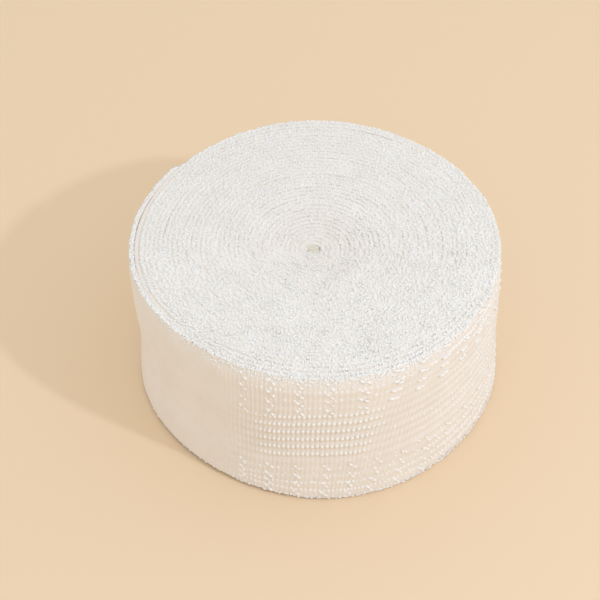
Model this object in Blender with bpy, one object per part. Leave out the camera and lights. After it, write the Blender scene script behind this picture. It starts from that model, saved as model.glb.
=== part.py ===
"""Roll of woven iron-on hem tape, lying on one of its flat ends.

Metres, +Z up. The origin is the middle of the base. +X is the roll's right and -Y its front.
The roll is one wound body: it follows the spiral of the tape, so its outline steps in by one
turn where the tape's outer end lies, on the back. Angles run counter-clockwise from +X.
"""
import math
from collections import namedtuple

import bmesh
import bpy

MM = 0.001

# Driving sizes
TAPE_WIDTH = 25.0 * MM
ROLL_RADIUS = 26.3 * MM
TURN_PITCH = 0.68 * MM
TAPE_THICKNESS = 0.60 * MM
TAPE_END = math.radians(140)

# The tape's rounded woven edges
EDGE_ROUND = 0.22 * MM

# The outermost turn stands off the rest on the left
STAND_OFF = 0.55 * MM
STAND_OFF_DEPTH = 2.2 * MM
STAND_OFF_MIDDLE = math.radians(176)
STAND_OFF_SPREAD = math.radians(38)
CLOSED_GAP = 0.10 * MM
CLOSED_GAP_DEPTH = 0.25 * MM

# The middle has sunk a little and lies off centre
DISH_DEPTH = 1.15 * MM
DISH_START = 0.52
SMALLEST_TURN = 0.15
EYE_SHIFT_X = 0.5 * MM
EYE_SHIFT_Y = -0.7 * MM
EYE_RADIUS = 1.1 * MM
EYE_DEPTH = 1.0 * MM

# Each side of the roll has a shallow waist under its top rim
WAIST_LEFT = 0.50 * MM
WAIST_RIGHT = 0.22 * MM
WAIST_LEVEL = 0.36
RIM_FLARE = 0.25 * MM
FLARE_START = 0.55

# The roll isn't quite round: each row is a number of lobes, how far they reach and towards where
Lobe = namedtuple("Lobe", "count top_reach top_angle base_reach base_angle")
LOBES = (
    Lobe(1, 0.20 * MM, math.radians(57), 0.25 * MM, math.radians(3)),
    Lobe(2, 0.28 * MM, math.radians(-65), 0.21 * MM, math.radians(-46)),
    Lobe(3, 0.14 * MM, math.radians(-50), 0.12 * MM, math.radians(31)),
    Lobe(4, 0.21 * MM, math.radians(8), 0.24 * MM, math.radians(4)),
)

# Furrows between bundles of turns. share is the distance out from the eye as a part of the
# radius. A furrow is deepest at its middle angle, and shallow past its spread.
Furrow = namedtuple("Furrow", "share width depth middle spread")
TOP_FURROWS = (
    Furrow(0.935, 0.55 * MM, 0.60 * MM, math.radians(70), math.radians(70)),
    Furrow(0.890, 0.50 * MM, 0.45 * MM, math.radians(60), math.radians(60)),
    Furrow(0.790, 0.55 * MM, 0.22 * MM, math.radians(250), math.radians(120)),
    Furrow(0.670, 0.60 * MM, 0.22 * MM, math.radians(20), math.radians(120)),
    Furrow(0.545, 0.75 * MM, 0.40 * MM, math.radians(110), math.radians(110)),
    Furrow(0.445, 0.55 * MM, 0.22 * MM, math.radians(300), math.radians(120)),
    Furrow(0.360, 0.60 * MM, 0.34 * MM, math.radians(190), math.radians(100)),
    Furrow(0.275, 0.60 * MM, 0.34 * MM, math.radians(165), math.radians(100)),
    Furrow(0.185, 0.55 * MM, 0.25 * MM, math.radians(20), math.radians(110)),
)
BASE_FURROWS = (
    Furrow(0.180, 0.60 * MM, 0.40 * MM, math.radians(200), math.radians(120)),
    Furrow(0.500, 0.60 * MM, 0.30 * MM, math.radians(80), math.radians(110)),
    Furrow(0.920, 0.60 * MM, 0.40 * MM, math.radians(240), math.radians(90)),
)
SHALLOW_PART = 0.4

# Heights up the side where the wall's section is drawn
WALL_LEVELS = (0.10, 0.22, 0.36, 0.50, 0.65, 0.82)

STATIONS = 72
END_STEP = math.radians(1.6)


def wrap(angle):
    """The same angle between -pi and pi."""
    return (angle + math.pi) % math.tau - math.pi


def swell(angle, middle, spread):
    """1 at the middle angle, falling smoothly to 0 at spread to either side."""
    away = min(abs(wrap(angle - middle)) / spread, 1.0)
    return 0.5 + 0.5 * math.cos(math.pi * away)


def ease(value):
    """A smooth step from 0 to 1."""
    value = min(max(value, 0.0), 1.0)
    return value * value * (3.0 - 2.0 * value)


def station_angle(station, share):
    """Evenly spaced angles, drawn in close to the tape's end at the rim."""
    even = math.tau / STATIONS
    half_step = 0.5 * (even + (END_STEP - even) * share ** 4)
    if station == 0:
        return TAPE_END + half_step
    if station == STATIONS - 1:
        return TAPE_END + math.tau - half_step
    return TAPE_END + (station + 0.5) * even


def winding(angle, share=1.0):
    """How far the spiral has come in since the tape's outer end."""
    return TURN_PITCH * ((angle - TAPE_END) / math.tau) * ease(share / SMALLEST_TURN)


def outline(angle, level):
    """Radius of the outer turn at a level, from 0 at the base to 1 at the top rim."""
    radius = ROLL_RADIUS - winding(angle) + 0.5 * TURN_PITCH
    for lobe in LOBES:
        top = lobe.top_reach * math.cos(lobe.count * (angle - lobe.top_angle))
        base = lobe.base_reach * math.cos(lobe.count * (angle - lobe.base_angle))
        radius += base + (top - base) * level
    leftward = swell(angle, math.pi, 0.62 * math.pi)
    rightward = swell(angle, 0.0, 0.45 * math.pi)
    waist = WAIST_LEFT * leftward + WAIST_RIGHT * rightward
    radius -= waist * ease(1.0 - abs(level - WAIST_LEVEL) / WAIST_LEVEL)
    return radius + RIM_FLARE * leftward * ease((level - FLARE_START) / (1.0 - FLARE_START))


def dish(share):
    """How far the turns at this share of the radius have sunk."""
    return DISH_DEPTH * ease(1.0 - share / DISH_START)


def at_rim(inset, height):
    """A ring on the outer turn, given by its inset from the outline and its height."""
    level = height / TAPE_WIDTH

    def point(station):
        angle = station_angle(station, 1.0)
        radius = outline(angle, level) - inset
        return radius * math.cos(angle), radius * math.sin(angle), height

    return point


def in_gap(top, across, deep):
    """A ring in the gap behind the outermost turn: across is 0 at the turn and 1 at the rest."""
    def point(station):
        angle = station_angle(station, 1.0)
        apart = swell(angle, STAND_OFF_MIDDLE, STAND_OFF_SPREAD) if top else 0.0
        gap = CLOSED_GAP + (STAND_OFF - CLOSED_GAP) * apart
        depth = CLOSED_GAP_DEPTH + (STAND_OFF_DEPTH - CLOSED_GAP_DEPTH) * apart
        level = 1.0 if top else 0.0
        radius = outline(angle, level) - TAPE_THICKNESS - gap * across
        height = depth * deep
        return radius * math.cos(angle), radius * math.sin(angle), TAPE_WIDTH - height if top else height

    return point


def on_end(top, share, inset=0.0, sunk=None):
    """A ring on an end face, given by its share of the radius and how deep it is sunk."""
    def point(station):
        angle = station_angle(station, share)
        radius = share * (outline(angle, 1.0 if top else 0.0) + winding(angle))
        radius -= winding(angle, share) + inset
        off_centre = (1.0 - share) ** 1.3
        x = radius * math.cos(angle) + EYE_SHIFT_X * off_centre
        y = radius * math.sin(angle) + EYE_SHIFT_Y * off_centre
        depth = sunk(angle) if sunk else 0.0
        return x, y, TAPE_WIDTH - depth - dish(share) if top else depth

    return point


def furrow_rings(top, furrow):
    """The outer lip, floor and inner lip of a furrow."""
    def floor_depth(angle):
        there = swell(angle, furrow.middle, furrow.spread)
        return furrow.depth * (SHALLOW_PART + (1.0 - SHALLOW_PART) * there)

    half = 0.5 * furrow.width
    return [
        on_end(top, furrow.share, -half),
        on_end(top, furrow.share, 0.0, floor_depth),
        on_end(top, furrow.share, half),
    ]


def eye_rings(top):
    """The small hollow where the tape starts, from its lip to its floor."""
    share = EYE_RADIUS / ROLL_RADIUS
    return [
        on_end(top, share, -0.8 * EYE_RADIUS),
        on_end(top, share, 0.0, lambda angle: 0.5 * EYE_DEPTH),
        on_end(top, share, 0.6 * EYE_RADIUS, lambda angle: EYE_DEPTH),
    ]


def rings_from_base_to_top():
    """All rings of the body, from the eye of the base, up the side, to the eye of the top."""
    rings = list(reversed(eye_rings(False)))
    for furrow in BASE_FURROWS:
        rings += reversed(furrow_rings(False, furrow))
    rings += [in_gap(False, 1.6, 0.0), in_gap(False, 0.5, 1.0)]
    rings += [at_rim(TAPE_THICKNESS - 0.5 * EDGE_ROUND, 0.0), at_rim(EDGE_ROUND, 0.0)]
    rings += [at_rim(0.0, EDGE_ROUND)]
    rings += [at_rim(0.0, level * TAPE_WIDTH) for level in WALL_LEVELS]
    rings += [at_rim(0.0, TAPE_WIDTH - EDGE_ROUND), at_rim(EDGE_ROUND, TAPE_WIDTH)]
    rings += [at_rim(TAPE_THICKNESS - 0.5 * EDGE_ROUND, TAPE_WIDTH)]
    rings += [in_gap(True, 0.0, 0.4), in_gap(True, 0.35, 1.0), in_gap(True, 0.65, 1.0)]
    rings += [in_gap(True, 1.0, 0.4), in_gap(True, 1.5, 0.0)]
    for furrow in TOP_FURROWS:
        rings += furrow_rings(True, furrow)
    return rings + eye_rings(True)


def wound_body(name):
    """Extrudes one closed ring of edges from section to section, and closes both eyes."""
    rings = rings_from_base_to_top()
    form = bmesh.new()
    station_of = form.verts.layers.int.new("station")
    bmesh.ops.create_circle(form, segments=STATIONS, radius=ROLL_RADIUS)
    for vertex in form.verts:
        angle = math.atan2(vertex.co.y, vertex.co.x) % math.tau
        vertex[station_of] = round(angle / math.tau * STATIONS) % STATIONS
    first = list(form.verts)
    current = list(form.edges)
    for vertex in first:
        vertex.co = rings[0](vertex[station_of])
    for ring in rings[1:]:
        grown = bmesh.ops.extrude_edge_only(form, edges=current)["geom"]
        current = [item for item in grown if isinstance(item, bmesh.types.BMEdge)]
        for vertex in (item for item in grown if isinstance(item, bmesh.types.BMVert)):
            vertex.co = ring(vertex[station_of])
    last = {vertex for edge in current for vertex in edge.verts}
    for loop in (first, last):
        edges = [edge for edge in form.edges if edge.verts[0] in loop and edge.verts[1] in loop]
        floor = bmesh.ops.edgeloop_fill(form, edges=edges)["faces"]
        bmesh.ops.poke(form, faces=floor)
    bmesh.ops.triangulate(form, faces=form.faces)
    bmesh.ops.recalc_face_normals(form, faces=form.faces)
    mesh = bpy.data.meshes.new(name)
    form.to_mesh(mesh)
    form.free()
    mesh.shade_smooth()
    mesh.set_sharp_from_angle(angle=math.radians(40))
    return mesh


def centred(mesh):
    """Moves the mesh in plan so that the origin is at the middle of its base."""
    for axis in (0, 1):
        places = [vertex.co[axis] for vertex in mesh.vertices]
        middle = 0.5 * (min(places) + max(places))
        for vertex in mesh.vertices:
            vertex.co[axis] -= middle
    return mesh


def woven_white():
    """Off-white cotton and polyester cloth."""
    material = bpy.data.materials.new("woven_white")
    material.use_nodes = True
    shader = material.node_tree.nodes["Principled BSDF"]
    shader.inputs["Base Color"].default_value = (0.80, 0.78, 0.73, 1.0)
    shader.inputs["Roughness"].default_value = 0.85
    shader.inputs["Metallic"].default_value = 0.0
    return material


def build():
    for item in list(bpy.data.objects):
        bpy.data.objects.remove(item)
    collection = bpy.data.collections.new("hem_tape_roll")
    bpy.context.scene.collection.children.link(collection)
    mesh = centred(wound_body("tape_roll"))
    mesh.materials.append(woven_white())
    collection.objects.link(bpy.data.objects.new("tape_roll", mesh))


build()
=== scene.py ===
"""Looks of the roll of iron-on hem tape: the tape is woven flat and then wound onto the roll."""
import math
from collections import namedtuple

import bmesh
import bpy
import numpy as np
from mathutils import Matrix, Vector


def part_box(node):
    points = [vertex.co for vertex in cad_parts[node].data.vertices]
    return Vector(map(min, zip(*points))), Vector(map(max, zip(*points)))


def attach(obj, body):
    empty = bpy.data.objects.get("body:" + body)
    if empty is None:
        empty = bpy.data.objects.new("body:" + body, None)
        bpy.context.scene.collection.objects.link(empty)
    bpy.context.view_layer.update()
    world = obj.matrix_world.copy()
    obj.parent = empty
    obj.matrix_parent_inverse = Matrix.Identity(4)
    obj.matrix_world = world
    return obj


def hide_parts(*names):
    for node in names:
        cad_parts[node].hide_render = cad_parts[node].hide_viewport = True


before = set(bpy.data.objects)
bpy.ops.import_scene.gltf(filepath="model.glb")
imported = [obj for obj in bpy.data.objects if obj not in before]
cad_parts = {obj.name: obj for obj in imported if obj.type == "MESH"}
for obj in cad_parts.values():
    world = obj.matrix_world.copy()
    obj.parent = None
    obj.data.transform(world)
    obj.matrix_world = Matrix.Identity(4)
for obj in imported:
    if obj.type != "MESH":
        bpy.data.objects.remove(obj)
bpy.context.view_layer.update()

MM = 0.001
TURN = 2.0 * math.pi

# The tape and how it is wound. The height comes from the solid, the rest repeats its sizes.
ROLL_LOW, ROLL_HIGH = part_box("tape_roll")
TAPE_WIDTH = ROLL_HIGH[2] - ROLL_LOW[2]
ROLL_RADIUS = 26.3 * MM
TURN_PITCH = 0.68 * MM
TAPE_THICKNESS = 0.60 * MM
TAPE_END = math.radians(140)
EYE_START = 0.85 * MM

# The outermost turn is thinner by the woven face on it. Where it ends, the tape goes on under it.
FACED_TURN = 0.995
FACED_THINNING = 0.2
UNDER_START = 0.97

# The outermost turn stands off the rest on the left
STAND_OFF = 0.20 * MM
STAND_OFF_FLOOR = 0.984
STAND_OFF_MIDDLE = math.radians(176)
STAND_OFF_SPREAD = math.radians(38)

# On the left the edges just inside it are bare, smooth and lie a little low
BARE_SHARE = 0.973
BARE_REACH = 0.019
BARE_DEPTH = 0.10 * MM
BARE_SPREAD = math.radians(62)

# The left side is pressed smooth
SMOOTH_MIDDLE = math.radians(-152)
SMOOTH_SPREAD = math.radians(52)

# Where the loops lie calmer, along the outermost turn's rim and on the top end
CALM_RIM_MIDDLE = math.radians(165)
CALM_RIM_SPREAD = math.radians(85)
CALM_TOP_MIDDLE = math.radians(125)
CALM_TOP_SPREAD = math.radians(125)

# The middle has sunk a little and lies off centre
DISH_DEPTH = 1.15 * MM
DISH_START = 0.52
EYE_SHIFT_X = -0.5 * MM
EYE_SHIFT_Y = -0.3 * MM

# Each side of the roll has a shallow waist under its top rim
WAIST_LEFT = 0.50 * MM
WAIST_RIGHT = 0.22 * MM
WAIST_LEVEL = 0.36
WAIST_LEFT_SPREAD = 0.62 * math.pi
WAIST_RIGHT_SPREAD = 0.45 * math.pi

# The rim flares on the left, and at the front it leans in and drops. There its loops stand up.
RIM_FLARE = 0.25 * MM
FLARE_START = 0.55
RIM_LEAN = 0.60 * MM
LEAN_START = 0.90
RIM_DROP = 0.55 * MM
DROP_START = 0.90
FRONT_MIDDLE = math.radians(-85)
FRONT_SPREAD = 0.75 * math.pi
STANDING_SPREAD = 0.80 * math.pi

# The outer turns are lifted a little off the floor at the front left
FOOT_LIFT = 0.35 * MM
FOOT_MIDDLE = math.radians(-135)
FOOT_SPREAD = math.radians(55)
FOOT_START = 0.90
FOOT_REACH = 0.08

# Number of lobes, and how far they reach and towards where, at the top and at the base
Lobe = namedtuple("Lobe", "count top_reach top_angle base_reach base_angle")
LOBES = (
    Lobe(1, 0.20 * MM, math.radians(57), 0.25 * MM, math.radians(3)),
    Lobe(2, 0.28 * MM, math.radians(-65), 0.21 * MM, math.radians(-46)),
    Lobe(3, 0.14 * MM, math.radians(-50), 0.12 * MM, math.radians(31)),
    Lobe(4, 0.21 * MM, math.radians(8), 0.24 * MM, math.radians(4)),
)

# Turns that lie lower than their neighbours on the top end
LowTurn = namedtuple("LowTurn", "share depth middle spread")
LOW_TURNS = (
    LowTurn(0.960, 0.10 * MM, math.radians(22), math.radians(48)),
    LowTurn(0.926, 0.12 * MM, math.radians(82), math.radians(80)),
    LowTurn(0.925, 0.06 * MM, math.radians(158), math.radians(50)),
    LowTurn(0.890, 0.07 * MM, math.radians(60), math.radians(95)),
    LowTurn(0.825, 0.07 * MM, math.radians(192), math.radians(60)),
    LowTurn(0.790, 0.06 * MM, math.radians(250), math.radians(150)),
    LowTurn(0.670, 0.06 * MM, math.radians(20), math.radians(150)),
    LowTurn(0.545, 0.17 * MM, math.radians(110), math.radians(160)),
    LowTurn(0.520, 0.10 * MM, math.radians(130), math.radians(120)),
    LowTurn(0.445, 0.07 * MM, math.radians(300), math.radians(150)),
    LowTurn(0.360, 0.13 * MM, math.radians(190), math.radians(140)),
    LowTurn(0.275, 0.13 * MM, math.radians(165), math.radians(140)),
    LowTurn(0.185, 0.13 * MM, math.radians(20), math.radians(140)),
)

# The front right, where ribs lean, dots draw out into ridges and floats are fuller
FRONT_RIGHT_MIDDLE = math.radians(-52)
FRONT_RIGHT_SPREAD = math.radians(45)

# The weave: ribs run across the tape, cords along it, and both lie on the outermost turn
RIB_PITCH = 0.667 * MM
RIB_DEPTH = 0.17 * MM
FACE_OUT = 0.5 * TAPE_THICKNESS + 0.06 * MM
FACE_EDGE = 0.42 * MM
PLAIN_CORD_DEPTH = 0.09 * MM
BAND_CORD_DEPTH = 0.16 * MM
CORDS_MIDDLE = math.radians(-25)
CORDS_SPREAD = math.radians(50)
RIB_LEAN = 0.9 * MM
RIB_LEAN_RIGHT = 3.6 * MM
RIB_WAVE = 0.06 * MM
RIB_WAVE_ACROSS = 11.0 * MM
RIB_WAVE_ALONG = 17.0 * MM
POINTS_PER_RIB = 4
POINTS_PER_CORD = 4

# The band of dots
DOT_ROWS = 6
DOT_ROW_PITCH = 1.61 * MM
DOT_BAND_MIDDLE = 13.95 * MM
DOT_BAND_REACH = 6.5 * MM
DOTS_MIDDLE = math.radians(-91)
DOTS_SPREAD = math.radians(26)
DOT_WIDTH = 0.285 * MM
DOT_REACH = 0.40 * MM
DOT_HEIGHT = 0.19 * MM

# The columns of floats. On the right more of them come up between the others.
RIBS_PER_COLUMN = 6
FIRST_COLUMN = 0
BETWEEN_COLUMN = 3
FLOAT_ROWS = 4
FLOAT_DROP = 0.9 * MM
FLOAT_WIDTH = 0.26 * MM
FLOAT_REACH = 0.42 * MM
FLOAT_HEIGHT = 0.18 * MM
FLOAT_SLANT = math.radians(-45)
TOP_FLOAT_HEIGHT = 18.95 * MM
BASE_FLOAT_HEIGHT = 1.2 * MM
SMALL_FLOAT_HEIGHT = 2.1 * MM
BASE_FLOAT_PITCH = 1.95 * MM
FULLER_SPREAD = math.radians(42)
BETWEEN_MIDDLE = math.radians(-30)
BETWEEN_SPREAD = math.radians(60)
LOW_FLOAT_SPREAD = math.radians(40)

# The rows hang low towards the left of the front
ROW_SAG = 2.0 * MM
SAG_MIDDLE = math.radians(-118)
SAG_SPREAD = math.radians(30)
SAG_EDGE = 6.0 * MM

# The loops of yarn over the tape's edges. Within the inner radius they stand up around the eye.
EDGE_LOOP_REACH = 0.10 * MM
LOOP_WIDTH = 0.175 * MM
LOOP_REACH = 0.28 * MM
LOOP_HEIGHT = 0.15 * MM
INNER_RADIUS = 12.0 * MM

# Rows of loops along the outermost turn: four under the top rim and two at the base
RimRow = namedtuple("RimRow", "below_rim tipped sunk stray size")
RIM_ROWS = (
    RimRow(0.22 * MM, math.radians(40), 0.17 * MM, 0.12 * MM, 0.95),
    RimRow(0.52 * MM, math.radians(70), 0.10 * MM, 0.20 * MM, 0.90),
    RimRow(0.90 * MM, math.radians(80), 0.10 * MM, 0.30 * MM, 0.85),
    RimRow(1.35 * MM, math.radians(85), 0.13 * MM, 0.35 * MM, 0.75),
    RimRow(24.75 * MM, math.radians(135), 0.16 * MM, 0.12 * MM, 0.85),
    RimRow(24.45 * MM, math.radians(100), 0.12 * MM, 0.15 * MM, 0.75),
)

# The first bit of tape, folded in the eye
START_LEAF = 0.64 * MM
START_FOLD = 0.27 * MM
START_THICKNESS = 0.50 * MM
START_TURN = math.radians(-25)

# Points of the tape that lie closer than this are joined
JOIN_DISTANCE = 0.001 * MM


def ease(value):
    """0 up to 0, then smoothly up to 1 at 1."""
    value = np.clip(value, 0.0, 1.0)
    return value * value * (3.0 - 2.0 * value)


def hump(distance):
    """1 at distance 0, falling smoothly to 0 at 1 to either side."""
    return 0.5 + 0.5 * np.cos(math.pi * np.minimum(np.abs(distance), 1.0))


def swell(angle, middle, spread):
    """1 at the middle angle, falling smoothly to 0 at spread to either side."""
    return hump(((angle - middle + math.pi) % TURN - math.pi) / spread)


def wobble(angle, size, slowest, fastest, seed):
    """A smooth unevenness along the tape, with its slowest and fastest waves per turn."""
    draw = np.random.default_rng(seed)
    rates = draw.uniform(slowest, fastest, 9)
    phases = draw.uniform(0.0, TURN, 9)
    return size * sum(np.sin(rate * angle + phase) for rate, phase in zip(rates, phases)) / 3.0


def oval(theta, level):
    """How far the outer turn departs from a circle."""
    reach = 0.0
    for lobe in LOBES:
        top = lobe.top_reach * np.cos(lobe.count * (theta - lobe.top_angle))
        base = lobe.base_reach * np.cos(lobe.count * (theta - lobe.base_angle))
        reach = reach + base + (top - base) * level
    leftward = swell(theta, math.pi, WAIST_LEFT_SPREAD)
    rightward = swell(theta, 0.0, WAIST_RIGHT_SPREAD)
    waist = WAIST_LEFT * leftward + WAIST_RIGHT * rightward
    reach = reach - waist * ease(1.0 - np.abs(level - WAIST_LEVEL) / WAIST_LEVEL)
    flare = RIM_FLARE * leftward * ease((level - FLARE_START) / (1.0 - FLARE_START))
    forward = swell(theta, FRONT_MIDDLE, FRONT_SPREAD)
    lean = RIM_LEAN * forward * ease((level - LEAN_START) / (1.0 - LEAN_START))
    return reach + flare - lean


def mid_radius(wound):
    """Radius of the tape's middle surface after winding in by this angle from the outer end."""
    outer = ROLL_RADIUS + 0.5 * TURN_PITCH - 0.5 * TAPE_THICKNESS
    return outer - TURN_PITCH * wound / TURN


WOUND_ANGLE = (mid_radius(0.0) - EYE_START) / TURN_PITCH * TURN
TAPE_LENGTH = 0.5 * (mid_radius(0.0) + EYE_START) * WOUND_ANGLE


def wound_at(distance):
    """The angle wound in at a distance along the tape from its outer end."""
    outer = mid_radius(0.0)
    rate = TURN_PITCH / TURN
    return (outer - np.sqrt(np.maximum(outer * outer - 2.0 * rate * distance, 0.0))) / rate


def wound_length(wound):
    """Length of tape in the first turns, up to this angle."""
    return 0.5 * (mid_radius(0.0) + mid_radius(wound)) * wound


def plan_middle():
    """The middle of the outline's box, which is the origin of the solid."""
    wound = np.linspace(0.0, TURN, 1441)
    theta = TAPE_END + wound
    spans = []
    for level in np.linspace(0.0, 1.0, 21):
        radius = mid_radius(wound) + 0.5 * TAPE_THICKNESS + oval(theta, level)
        spans.append((radius * np.cos(theta), radius * np.sin(theta)))
    across = [np.concatenate(axis) for axis in zip(*spans)]
    return [0.5 * (axis.min() + axis.max()) for axis in across]


MIDDLE_X, MIDDLE_Y = plan_middle()


def bare_edges(wound):
    """1 where the tape's edges are bare on the left, 0 elsewhere."""
    share = mid_radius(wound) / ROLL_RADIUS
    leftward = ease(1.5 * swell(TAPE_END + wound, STAND_OFF_MIDDLE, BARE_SPREAD))
    return leftward * ease(1.6 * hump((share - BARE_SHARE) / BARE_REACH))


def pressed(theta):
    """1 where the side is pressed smooth, 0 elsewhere."""
    return ease(1.6 * swell(theta, SMOOTH_MIDDLE, SMOOTH_SPREAD))


def calm_rim(theta):
    """1 where the loops lie flat along the rim, 0 elsewhere."""
    return ease(1.6 * swell(theta, CALM_RIM_MIDDLE, CALM_RIM_SPREAD))


def laid_along(bit, weight):
    """Turns a bit so that it lies along the rim, by this weight."""
    return bit._replace(slant=bit.slant + weight * (0.5 * math.pi - bit.slant))


def top_sunk(wound, share):
    """How far below the rim the top edge lies."""
    sunk = DISH_DEPTH * ease(1.0 - share / DISH_START)
    uneven = np.maximum(0.65 + wobble(wound, 0.45, 3.0, 16.0, 16), 0.0)
    for low in LOW_TURNS:
        turns_in = (1.0 - low.share) * ROLL_RADIUS / TURN_PITCH
        past_end = (low.middle - TAPE_END) % TURN
        middle = TURN * np.round(turns_in - past_end / TURN) + past_end
        sunk = sunk + low.depth * uneven * hump((wound - middle) / low.spread)
    theta = TAPE_END + wound
    forward = swell(theta, FRONT_MIDDLE, FRONT_SPREAD)
    sunk = sunk + BARE_DEPTH * bare_edges(wound)
    sunk = sunk + RIM_DROP * forward * ease((share - DROP_START) / (1.0 - DROP_START))
    return sunk + wobble(wound, 0.02 * MM, 0.6, 3.0, 11) + wobble(wound, 0.015 * MM, 4.0, 11.0, 12)


def wind(wound, out, across):
    """Places points of the flat tape on the roll. out is the distance out from the middle
    surface, and across the height on the tape."""
    theta = TAPE_END + wound
    level = across / TAPE_WIDTH
    radius = mid_radius(wound)
    share = np.clip(radius / ROLL_RADIUS, 0.0, 1.0)
    inside = ease((wound / TURN - UNDER_START) / (1.0 - UNDER_START))
    radius = radius + oval(theta, level) * share ** 2
    apart = STAND_OFF * swell(theta, STAND_OFF_MIDDLE, STAND_OFF_SPREAD) * inside
    radius = radius - apart * share ** 3 * ease((level - STAND_OFF_FLOOR) / (1.0 - STAND_OFF_FLOOR))
    radius = radius + wobble(wound, 0.022 * MM, 1.0, 9.0, 13) * inside + out
    off_centre = (1.0 - share) ** 1.3
    x = radius * np.cos(theta) + EYE_SHIFT_X * off_centre - MIDDLE_X
    y = radius * np.sin(theta) + EYE_SHIFT_Y * off_centre - MIDDLE_Y
    foot = np.abs(wobble(wound, 0.12 * MM, 0.6, 3.0, 14))
    lifted = swell(theta, FOOT_MIDDLE, FOOT_SPREAD) * ease((share - FOOT_START) / FOOT_REACH)
    foot = foot + FOOT_LIFT * lifted
    z = foot + level * (TAPE_WIDTH - foot - top_sunk(wound, share))
    return np.stack([x, y, z], axis=-1)


def flat_coordinates(mesh):
    """The places of a mesh's points, one row to a point."""
    places = np.empty(3 * len(mesh.vertices), dtype=np.float32)
    mesh.vertices.foreach_get("co", places)
    return places.reshape(-1, 3).astype(float)


def roll_up(mesh, wound, out, across):
    """Winds a flat mesh, given each point's angle, distance out and height on the tape."""
    rolled = wind(wound, out, across)
    mesh.vertices.foreach_set("co", rolled.astype(np.float32).ravel())
    mesh.update()


def piece(name, mesh, material):
    """A piece of the tape, which rides with the roll."""
    mesh.name = name
    mesh.materials.append(material)
    mesh.shade_smooth()
    made = bpy.data.objects.new(name, mesh)
    bpy.context.scene.collection.objects.link(made)
    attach(made, "root")
    return made


def mesh_of(form, name):
    """A mesh of a finished form, which is then let go."""
    bmesh.ops.recalc_face_normals(form, faces=form.faces)
    mesh = bpy.data.meshes.new(name)
    form.to_mesh(mesh)
    form.free()
    return mesh


def repeated(form, name, *steps):
    """Copies a small form in rows: each step is a count and an offset."""
    small = bpy.data.objects.new(name, mesh_of(form, name))
    bpy.context.scene.collection.objects.link(small)
    for count, offset in steps:
        array = small.modifiers.new("row", "ARRAY")
        array.count = count
        array.use_relative_offset = False
        array.use_constant_offset = True
        array.constant_offset_displace = offset
        array.use_merge_vertices = False
    evaluated = small.evaluated_get(bpy.context.evaluated_depsgraph_get())
    mesh = bpy.data.meshes.new_from_object(evaluated)
    bpy.data.objects.remove(small)
    return mesh


def strip(columns, rows):
    """A flat grid of points, its columns along the tape and its rows across it."""
    form = bmesh.new()
    bmesh.ops.create_grid(form, x_segments=columns, y_segments=rows, size=0.5)
    places = np.array([vert.co[:2] for vert in form.verts]) + 0.5
    places = np.round(places * (columns, rows)).astype(int)
    return form, places[:, 0], places[:, 1]


def put(form, along, out, across):
    """Moves each point of a form to its place on the flat tape."""
    for vert, place in zip(form.verts, np.stack([along, out, across], axis=-1)):
        vert.co = place


def tape_outline(half, low, high):
    """The tape's section: two walls and two rounded edges."""
    walls = [low + level * (high - low) for level in (0.20, 0.36, 0.54, 0.76, 0.91, 0.984)]
    edge = [(1.0, 0.07 * MM), (0.72, 0.02 * MM), (0.0, 0.0), (-0.72, 0.02 * MM), (-1.0, 0.07 * MM)]
    outline = [(half * out, high - down) for out, down in edge]
    outline += [(-half, height) for height in reversed(walls)]
    outline += [(-half * out, low + up) for out, up in edge]
    return np.array(outline + [(half, height) for height in walls])


def wound_tape(material):
    """The whole tape in one strip, from its outer end to the eye. Its first turn is thinner by
    the woven face that lies on it."""
    stations_per_turn = 80
    steps = int(WOUND_ANGLE / TURN * stations_per_turn)
    outline = tape_outline(0.5 * TURN_PITCH, EDGE_LOOP_REACH, TAPE_WIDTH - EDGE_LOOP_REACH)
    form, column, row = strip(steps, len(outline))
    section = outline[row % len(outline)]
    put(form, column / steps, section[:, 0], section[:, 1])
    bmesh.ops.remove_doubles(form, verts=form.verts, dist=JOIN_DISTANCE)
    bmesh.ops.holes_fill(form, edges=[edge for edge in form.edges if edge.is_boundary])
    mesh = mesh_of(form, "wound_tape")
    flat = flat_coordinates(mesh)
    wound, out = flat[:, 0] * WOUND_ANGLE, flat[:, 1]
    faced = (wound < FACED_TURN * TURN) & (out > 0.0)
    roll_up(mesh, wound, np.where(faced, FACED_THINNING * out, out), flat[:, 2])
    return piece("wound_tape", mesh, material)


def weave_levels():
    """Heights of the rows of points on the outer face, four to a cord, and their relief."""
    band = 0.5 * DOT_ROWS * DOT_ROW_PITCH
    low, high = DOT_BAND_MIDDLE - band, DOT_BAND_MIDDLE + band
    top = TAPE_WIDTH - FACE_EDGE
    zones = (
        (FACE_EDGE, low, PLAIN_CORD_DEPTH),
        (low, high, BAND_CORD_DEPTH),
        (high, top, PLAIN_CORD_DEPTH),
    )
    heights, relief = [0.10 * MM, 0.22 * MM], [-0.30 * MM, -0.11 * MM]
    for start, end, depth in zones:
        points = POINTS_PER_CORD * round((end - start) / DOT_ROW_PITCH)
        for k in range(points):
            heights.append(start + (end - start) * k / points)
            relief.append(-0.5 * depth * (1.0 + math.cos(TURN * k / POINTS_PER_CORD)))
    heights += [top, TAPE_WIDTH - 0.24 * MM, TAPE_WIDTH - 0.14 * MM]
    relief += [-0.04 * MM, -0.12 * MM, -0.30 * MM]
    return np.array(heights), np.array(relief)


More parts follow.
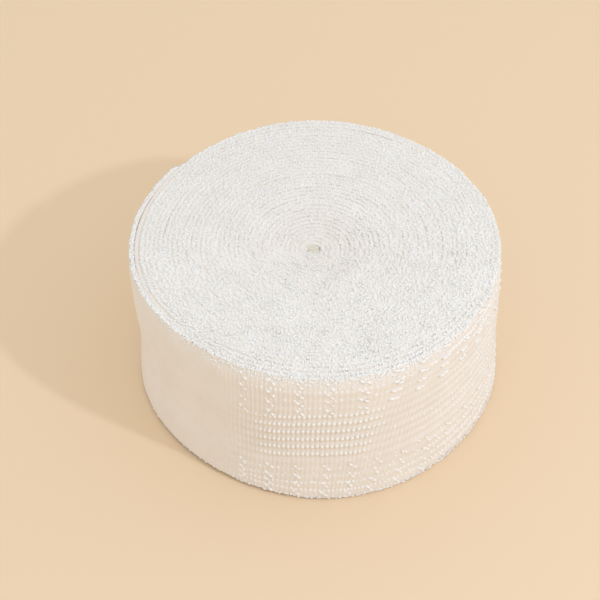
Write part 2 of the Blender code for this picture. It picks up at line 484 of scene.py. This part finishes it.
def wander(along, across):
    """The ribs don't run quite straight across the tape: they lean, and more so on the right."""
    theta = TAPE_END + wound_at(along)
    lean = RIB_LEAN + RIB_LEAN_RIGHT * ease(1.5 * swell(theta, FRONT_RIGHT_MIDDLE, FRONT_RIGHT_SPREAD))
    wave = np.sin(TURN * across / RIB_WAVE_ACROSS + along / RIB_WAVE_ALONG)
    return lean * (across / TAPE_WIDTH - 0.5) + RIB_WAVE * wave


def sag(along, across):
    """How far the rows of the weave hang low, towards the left of the front."""
    theta = TAPE_END + wound_at(along)
    free = ease(np.minimum(across, TAPE_WIDTH - across) / SAG_EDGE)
    return ROW_SAG * swell(theta, SAG_MIDDLE, SAG_SPREAD) * free


def woven_face(material):
    """The ribbed outer face of the outermost turn. Its cords show more than its ribs on the right."""
    heights, cords = weave_levels()
    steps = int(POINTS_PER_RIB * (wound_length(TURN) + RIB_PITCH) / RIB_PITCH)
    form, column, row = strip(steps, len(heights) - 1)
    along = column * RIB_PITCH / POINTS_PER_RIB
    theta = TAPE_END + wound_at(along)
    ridged = swell(theta, CORDS_MIDDLE, CORDS_SPREAD)
    in_band = hump((heights[row] - DOT_BAND_MIDDLE) / DOT_BAND_REACH)
    plain = 1.0 - 0.75 * pressed(theta)
    rib_depth = RIB_DEPTH * (1.0 - 0.75 * ridged) * (0.6 + 0.4 * in_band) * plain
    ribs = np.array([-1.0, -0.15, 0.0, -0.15])[column % POINTS_PER_RIB] * rib_depth
    out = FACE_OUT + cords[row] * (plain + 1.5 * ridged) + ribs
    out[(column == 0) | (column == steps)] = 0.05 * MM
    put(form, along, out, heights[row])
    mesh = mesh_of(form, "woven_face")
    flat = flat_coordinates(mesh)
    along, across = flat[:, 0], flat[:, 2]
    wound = wound_at(along + wander(along, across))
    roll_up(mesh, wound, flat[:, 1], across - sag(along, across))
    return piece("woven_face", mesh, material)


# Where a bit of yarn lies: the distance along the tape and the height on it, the distance out of
# its middle surface, the angles it is tipped outward and slanted by, and its half sizes
Bit = namedtuple("Bit", "along height out tipped slant width reach thick")


def yarn_bits(name, rows, per_row, place, material):
    """Many small rounded bits of yarn, in rows along the tape. They are first laid out well apart,
    and then place is given the row and the step of every bit and says where it lies."""
    form = bmesh.new()
    bmesh.ops.create_icosphere(form, subdivisions=1, radius=1.0)
    each = len(form.verts)
    apart = 10.0
    mesh = repeated(form, name, (rows, (0, 0, apart)), (per_row, (apart, 0, 0)))
    flat = flat_coordinates(mesh)
    number = np.arange(rows * per_row)
    row, step = number % rows, number // rows
    bit = place(row, step)
    bit = Bit(*[np.broadcast_to(value, number.shape).repeat(each) for value in bit])
    x = (flat[:, 0] - apart * step.repeat(each)) * bit.width
    y = flat[:, 1] * bit.reach
    z = (flat[:, 2] - apart * row.repeat(each)) * bit.thick
    aside = x * np.cos(bit.slant) - y * np.sin(bit.slant)
    ahead = x * np.sin(bit.slant) + y * np.cos(bit.slant)
    out = bit.out + ahead * np.cos(bit.tipped) + z * np.sin(bit.tipped)
    height = bit.height - ahead * np.sin(bit.tipped) + z * np.cos(bit.tipped)
    roll_up(mesh, wound_at(bit.along + aside), out, np.maximum(height, 0.01 * MM))
    return piece(name, mesh, material)


def loop(draw, along, height, out, tipped, stray, size, relief=1.0):
    """One arch of a weft turn, as uneven as the real ones."""
    count = len(along)
    stout = draw.uniform(0.75, 1.2, count) * size
    aside = draw.uniform(-1.0, 1.0, count) * stray
    lift = draw.normal(0.0, 0.05 * MM, count) * relief
    along = along + draw.normal(0.0, 0.075 * MM, count)
    return Bit(
        along=np.clip(along, 0.5 * MM, TAPE_LENGTH - 0.5 * MM),
        height=height - aside * np.sin(tipped) + lift * np.cos(tipped),
        out=out + aside * np.cos(tipped) + lift * np.sin(tipped),
        tipped=tipped,
        slant=draw.normal(0.45, 0.7, count),
        width=LOOP_WIDTH * stout,
        reach=LOOP_REACH * stout,
        thick=LOOP_HEIGHT * size * relief,
    )


def top_edge_loops(name, seed, size, material):
    """The weft turns over the tape's top edge at every rib. They stand up more towards the front
    and around the eye, where they leave deeper gaps, and are calmer in some places than in others."""
    spacing = 0.5 * RIB_PITCH
    draw = np.random.default_rng(seed)

    def place(row, step):
        along = (step + 0.5) * spacing
        wound = wound_at(along)
        theta = TAPE_END + wound
        outermost = ease(1.4 - wound / TURN)
        forward = swell(theta, FRONT_MIDDLE, STANDING_SPREAD)
        inner = ease(1.3 * (1.0 - mid_radius(wound) / INNER_RADIUS))
        behind = ease(1.3 * swell(theta, CALM_TOP_MIDDLE, CALM_TOP_SPREAD))
        bare = bare_edges(wound)
        calm = calm_rim(theta) * outermost
        height = TAPE_WIDTH - EDGE_LOOP_REACH - (0.01 + 0.07 * bare) * MM
        stray = 0.5 * TURN_PITCH * (1.0 - 0.2 * outermost)
        stray = stray * (1.0 - 0.17 * behind) * (1.0 + 0.35 * inner)
        relief = 0.72 + 0.45 * forward + wobble(wound, 0.09, 0.5, 4.0, 15)
        relief = relief * (1.0 - 0.5 * np.maximum(bare, calm))
        relief = relief * (1.0 + 0.9 * inner) * (1.0 - 0.2 * behind)
        stout = size * (1.0 + 0.35 * calm - 0.27 * inner)
        return laid_along(loop(draw, along, height, 0.0, 0.0, stray, stout, relief), calm)

    return yarn_bits(name, 1, int(TAPE_LENGTH / spacing), place, material)


def base_edge_loops(material):
    """The same turns on the end that the roll stands on, a little coarser."""
    spacing = 0.8 * RIB_PITCH
    draw = np.random.default_rng(22)

    def place(row, step):
        along = (step + 0.5) * spacing
        return loop(
            draw, along, height=0.12 * MM, out=0.0, tipped=math.pi, stray=0.3 * TURN_PITCH, size=1.0,
        )

    return yarn_bits("base_edge_loops", 1, int(TAPE_LENGTH / spacing), place, material)


def rim_loops(material):
    """Loops that run over the outer turn's rims onto its face, in rows that thin out."""
    spacing = 0.5 * RIB_PITCH
    draw = np.random.default_rng(23)

    def place(row, step):
        below_rim, tipped, sunk, stray, size = np.array(RIM_ROWS)[row].T
        along = (step + 0.5) * spacing
        calm = calm_rim(TAPE_END + wound_at(along))
        out = FACE_OUT - sunk - 0.02 * MM * calm
        height = TAPE_WIDTH - below_rim
        stray = stray * (1.0 - 0.7 * calm)
        stout = size * (1.0 + 0.35 * calm)
        relief = 1.0 - 0.5 * calm
        return laid_along(loop(draw, along, height, out, tipped, stray, stout, relief), calm)

    return yarn_bits("rim_loops", len(RIM_ROWS), int(wound_length(TURN) / spacing), place, material)


def raised_dots(material):
    """A bead of yarn where each rib passes over a cord: plain in the six rows of the middle band
    towards the front, faint in the others, and drawn out into ridges on the upper right."""
    heights = DOT_BAND_MIDDLE + (np.arange(-8, 7) + 0.5) * DOT_ROW_PITCH
    draw = np.random.default_rng(31)

    def place(row, step):
        along = (step + 0.5) * RIB_PITCH
        theta = TAPE_END + wound_at(along)
        over = (heights[row] - DOT_BAND_MIDDLE) / (0.5 * DOT_ROWS * DOT_ROW_PITCH)
        height = heights[row] + draw.normal(0.0, 0.04 * MM, len(row))
        height = height - sag(along, height)
        faint = 1.0 - ease(1.6 * swell(theta, DOTS_MIDDLE, DOTS_SPREAD))
        faint = np.maximum(faint, 0.88 * ease(8.0 * (np.abs(over) - 0.95)))
        ridge = swell(theta, FRONT_RIGHT_MIDDLE, FRONT_RIGHT_SPREAD) * ease(4.0 * (over - 0.8))
        out = 0.5 * TAPE_THICKNESS - (0.03 * ridge + 0.14 * faint) * MM
        return Bit(
            along=along + wander(along, height),
            height=height,
            out=out + draw.normal(0.0, 0.02 * MM, len(row)),
            tipped=0.5 * math.pi,
            slant=0.0,
            width=DOT_WIDTH + 0.35 * MM * ridge,
            reach=DOT_REACH - 0.08 * MM * ridge,
            thick=DOT_HEIGHT,
        )

    per_row = int(wound_length(TURN) / RIB_PITCH)
    return yarn_bits("raised_dots", len(heights), per_row, place, material)


def glue_floats(name, lowest, pitch, first_column, material, between=False):
    """Columns of shiny floats of the glue yarn. Each float runs down over two ribs, and shows as
    a pair of beads. The columns between the others come up only on the right."""
    columns = int(wound_length(TURN) / (RIBS_PER_COLUMN * RIB_PITCH))
    draw = np.random.default_rng(45 + first_column)

    def place(row, step):
        second = row % 2
        along = (RIBS_PER_COLUMN * step + second + first_column) * RIB_PITCH
        height = lowest + (row // 2) * pitch
        height = height - sag(along, height)
        theta = TAPE_END + wound_at(along)
        upper = ease(5.0 * (height / TAPE_WIDTH - 0.5))
        fuller = ease(1.4 * swell(theta, FRONT_RIGHT_MIDDLE, FULLER_SPREAD)) * upper
        drop = FLOAT_DROP * (1.0 - 0.9 * fuller)
        height = height + np.where(second == 0, 0.4, -0.4) * drop + 0.5 * MM * fuller
        count = len(row)
        height = height + draw.normal(0.0, 0.07 * MM, count)
        stout = draw.uniform(0.8, 1.15, count) * (0.8 if between else 1.0)
        lower = ease(4.0 * (0.5 - height / TAPE_WIDTH))
        flat = swell(theta, BETWEEN_MIDDLE, LOW_FLOAT_SPREAD) * lower
        out = 0.5 * TAPE_THICKNESS + (0.03 + 0.05 * fuller - 0.25 * pressed(theta) - 0.08 * flat) * MM
        if between:
            out = out - 0.2 * MM * (1.0 - swell(theta, BETWEEN_MIDDLE, BETWEEN_SPREAD))
        return Bit(
            along=along + wander(along, height) + draw.normal(0.0, 0.05 * MM, count),
            height=height,
            out=out + draw.normal(0.0, 0.03 * MM, count),
            tipped=0.5 * math.pi,
            slant=FLOAT_SLANT * (1.0 + 0.8 * fuller) + draw.normal(0.0, 0.12, count),
            width=(FLOAT_WIDTH - 0.03 * MM * fuller) * stout,
            reach=(FLOAT_REACH + 0.26 * MM * fuller) * stout,
            thick=(FLOAT_HEIGHT + 0.01 * MM * fuller) * stout,
        )

    return yarn_bits(name, 2 * FLOAT_ROWS, columns, place, material)


def folded_path():
    """Plan of the first bit of tape, folded twice on itself, and the way out of it at each point."""
    bend = np.linspace(-0.5 * math.pi, 0.5 * math.pi, 7)
    points, ways = [], []
    for number, side in enumerate((1.0, -1.0, 1.0)):
        level = 2 * START_FOLD * (number - 1)
        points += [(-side * START_LEAF, level), (0.0, level)]
        ways += [(0.0, -side)] * 2
        if number < 2:
            for angle in bend:
                ahead = START_LEAF + START_FOLD * math.cos(angle)
                points.append((side * ahead, level + START_FOLD * (1.0 + math.sin(angle))))
                ways.append((math.cos(angle), side * math.sin(angle)))
    points.append((START_LEAF, 2 * START_FOLD))
    ways.append((0.0, -1.0))
    return np.array(points), np.array(ways)


def tape_start(material):
    """The first bit of tape in the eye, folded on itself and stiff with glue."""
    points, ways = folded_path()
    outline = tape_outline(0.5 * START_THICKNESS, 0.02 * MM, TAPE_WIDTH - DISH_DEPTH)
    form, column, row = strip(len(points) - 1, len(outline))
    section = outline[row % len(outline)]
    plan = points[column] + ways[column] * section[:, :1]
    put(form, plan[:, 0], plan[:, 1], section[:, 1])
    bmesh.ops.remove_doubles(form, verts=form.verts, dist=JOIN_DISTANCE)
    bmesh.ops.holes_fill(form, edges=[edge for edge in form.edges if edge.is_boundary])
    turned = Matrix.Rotation(START_TURN, 3, "Z")
    eye = (EYE_SHIFT_X - MIDDLE_X, EYE_SHIFT_Y - MIDDLE_Y, 0.0)
    bmesh.ops.rotate(form, cent=(0, 0, 0), matrix=turned, verts=form.verts)
    bmesh.ops.translate(form, vec=eye, verts=form.verts)
    return piece("tape_start", mesh_of(form, "tape_start"), material)


def yarn_fibres():
    """Fine fibres along the yarn and slow unevenness of the white."""
    group = bpy.data.node_groups.new("yarn_fibres", "ShaderNodeTree")
    sockets = (
        ("Colour", "INPUT", "NodeSocketColor"),
        ("Grain", "INPUT", "NodeSocketFloat"),
        ("Stretch", "INPUT", "NodeSocketFloat"),
        ("Colour", "OUTPUT", "NodeSocketColor"),
        ("Height", "OUTPUT", "NodeSocketFloat"),
    )
    for name, way, kind in sockets:
        group.interface.new_socket(name, in_out=way, socket_type=kind)
    nodes, links = group.nodes, group.links
    entry, leave = nodes.new("NodeGroupInput"), nodes.new("NodeGroupOutput")
    place = nodes.new("ShaderNodeTexCoord")
    scale = nodes.new("ShaderNodeCombineXYZ")
    scale.inputs["X"].default_value = 1.0
    scale.inputs["Y"].default_value = 1.0
    links.new(entry.outputs["Stretch"], scale.inputs["Z"])
    stretched = nodes.new("ShaderNodeVectorMath")
    stretched.operation = "MULTIPLY"
    links.new(place.outputs["Object"], stretched.inputs[0])
    links.new(scale.outputs["Vector"], stretched.inputs[1])
    fine = nodes.new("ShaderNodeTexNoise")
    fine.inputs["Scale"].default_value = 9000.0
    fine.inputs["Detail"].default_value = 2.0
    links.new(stretched.outputs["Vector"], fine.inputs["Vector"])
    slow = nodes.new("ShaderNodeTexNoise")
    slow.inputs["Scale"].default_value = 260.0
    slow.inputs["Detail"].default_value = 3.0
    links.new(place.outputs["Object"], slow.inputs["Vector"])
    both = nodes.new("ShaderNodeMath")
    both.operation = "MULTIPLY_ADD"
    both.inputs[1].default_value = 0.6
    links.new(fine.outputs["Fac"], both.inputs[0])
    links.new(slow.outputs["Fac"], both.inputs[2])
    shade = nodes.new("ShaderNodeMapRange")
    shade.inputs["From Min"].default_value = 0.45
    shade.inputs["From Max"].default_value = 1.15
    links.new(both.outputs["Value"], shade.inputs["Value"])
    darker = nodes.new("ShaderNodeMix")
    darker.data_type = "RGBA"
    darker.blend_type = "MULTIPLY"
    darker.inputs[7].default_value = (0.90, 0.89, 0.86, 1.0)
    invert = nodes.new("ShaderNodeMath")
    invert.operation = "SUBTRACT"
    invert.inputs[0].default_value = 1.0
    links.new(shade.outputs["Result"], invert.inputs[1])
    weight = nodes.new("ShaderNodeMath")
    weight.operation = "MULTIPLY"
    links.new(invert.outputs["Value"], weight.inputs[0])
    links.new(entry.outputs["Grain"], weight.inputs[1])
    links.new(weight.outputs["Value"], darker.inputs[0])
    links.new(entry.outputs["Colour"], darker.inputs[6])
    links.new(darker.outputs[2], leave.inputs["Colour"])
    links.new(fine.outputs["Fac"], leave.inputs["Height"])
    return group


YARN_FIBRES = yarn_fibres()


def cloth(name, colour, roughness, sheen, grain, stretch=1.0):
    """Cloth with fibres, faint unevenness and a soft sheen. A stretch below 1 draws its fibres
    out upwards."""
    material = bpy.data.materials.new(name)
    material.use_nodes = True
    nodes, links = material.node_tree.nodes, material.node_tree.links
    shader = nodes["Principled BSDF"]
    shader.inputs["Roughness"].default_value = roughness
    shader.inputs["Sheen Weight"].default_value = sheen
    shader.inputs["Sheen Roughness"].default_value = 0.4
    fibres = nodes.new("ShaderNodeGroup")
    fibres.node_tree = YARN_FIBRES
    fibres.inputs["Colour"].default_value = (*colour, 1.0)
    fibres.inputs["Grain"].default_value = grain
    fibres.inputs["Stretch"].default_value = stretch
    links.new(fibres.outputs["Colour"], shader.inputs["Base Color"])
    bump = nodes.new("ShaderNodeBump")
    bump.inputs["Strength"].default_value = 0.5
    bump.inputs["Distance"].default_value = 0.03 * MM
    links.new(fibres.outputs["Height"], bump.inputs["Height"])
    links.new(bump.outputs["Normal"], shader.inputs["Normal"])
    return material


def white_cloth():
    """The tape's own weave, slightly warm: the tint is partly the cloth's own colour and partly
    painted warm bounce light from the floor.
    """
    # The warm tint partly paints in the warm light that the beige floor throws up onto the roll's
    # side.
    colour = (0.90, 0.848, 0.802)
    return cloth("white_cloth", colour, roughness=0.85, sheen=0.2, grain=0.7, stretch=0.2)


def edge_yarn():
    """The whiter turns of the weft over the edges."""
    return cloth("edge_yarn", (0.965, 0.965, 0.965), roughness=0.5, sheen=0.2, grain=0.7)


def glued_cloth():
    """The beige start of the tape, stiff with glue."""
    return cloth("glued_tape", (0.80, 0.76, 0.67), roughness=0.6, sheen=0.1, grain=0.8)


def glue_yarn():
    """The shiny yarn of the dots and floats. Its white, brighter than the tape's, is partly the yarn's
    own colour and partly a painted highlight for its glints.
    """
    # The bright colour is partly painted highlight, standing in for the glints of the glossy
    # filaments.
    material = cloth("glue_yarn", (0.97, 0.95, 0.93), roughness=0.30, sheen=0.0, grain=0.4)
    shader = material.node_tree.nodes["Principled BSDF"]
    shader.inputs["Specular IOR Level"].default_value = 1.0
    return material


def camera():
    """The photograph's view: a long lens that looks down at about 45 degrees."""
    elevation = math.radians(45.5)
    roll = math.radians(1.04)
    distance = 284.4 * MM
    aim_right, aim_up = -2.47 * MM, 8.3 * MM
    ahead = Vector((0.0, math.cos(elevation), -math.sin(elevation)))
    up = Vector((0.0, math.sin(elevation), math.cos(elevation)))
    right = Vector((1.0, 0.0, 0.0))
    data = bpy.data.cameras.new("camera")
    data.sensor_width = 36.0
    data.lens = 120.0
    data.clip_start = 0.01
    made = bpy.data.objects.new("camera", data)
    top_middle = Vector((0.0, 0.1 * MM, TAPE_WIDTH))
    made.location = top_middle + aim_right * right - aim_up * up - distance * ahead
    turned_right = math.cos(roll) * right - math.sin(roll) * up
    turned_up = math.sin(roll) * right + math.cos(roll) * up
    axes = Matrix((turned_right, turned_up, -ahead)).transposed()
    made.rotation_euler = axes.to_euler()
    bpy.context.scene.collection.objects.link(made)
    bpy.context.scene.camera = made


def floor():
    """The plain, warm pale floor that the roll lies on."""
    form = bmesh.new()
    bmesh.ops.create_grid(form, x_segments=1, y_segments=1, size=0.6)
    mesh = mesh_of(form, "floor")
    material = bpy.data.materials.new("pale_floor")
    material.use_nodes = True
    shader = material.node_tree.nodes["Principled BSDF"]
    shader.inputs["Base Color"].default_value = (0.87, 0.68, 0.475, 1.0)
    shader.inputs["Roughness"].default_value = 0.9
    mesh.materials.append(material)
    made = bpy.data.objects.new("floor", mesh)
    bpy.context.scene.collection.objects.link(made)


def lights():
    """A soft sky and a small key light near the roll, to the right and in front."""
    scene = bpy.context.scene
    scene.view_settings.view_transform = "Standard"
    world = bpy.data.worlds.new("studio")
    scene.world = world
    world.use_nodes = True
    sky = world.node_tree.nodes["Background"]
    sky.inputs["Color"].default_value = (1.0, 0.988, 0.950, 1.0)
    sky.inputs["Strength"].default_value = 0.85
    key = bpy.data.lights.new("key", "POINT")
    key.energy = 1.20
    key.color = (0.885, 0.965, 1.13)
    key.shadow_soft_size = 10 * MM
    made = bpy.data.objects.new("key", key)
    made.location = (224 * MM, -171 * MM, 267 * MM)
    scene.collection.objects.link(made)


camera()
floor()
lights()

WHITE = white_cloth()
EDGE = edge_yarn()
GLUED = glued_cloth()
GLUE = glue_yarn()

tape = wound_tape(WHITE)
face = woven_face(WHITE)
top_loops = top_edge_loops("top_edge_loops", seed=21, size=1.0, material=EDGE)
fine_loops = top_edge_loops("fine_top_loops", seed=24, size=0.8, material=EDGE)
base_loops = base_edge_loops(EDGE)
side_loops = rim_loops(EDGE)
dots = raised_dots(GLUE)
top_floats = glue_floats(
    "top_band_floats", TOP_FLOAT_HEIGHT, DOT_ROW_PITCH, FIRST_COLUMN, GLUE,
)
base_floats = glue_floats(
    "base_band_floats", BASE_FLOAT_HEIGHT, BASE_FLOAT_PITCH, FIRST_COLUMN, GLUE,
)
small_floats = glue_floats(
    "small_base_floats", SMALL_FLOAT_HEIGHT, BASE_FLOAT_PITCH, BETWEEN_COLUMN, GLUE, between=True,
)
start = tape_start(GLUED)
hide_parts("tape_roll")
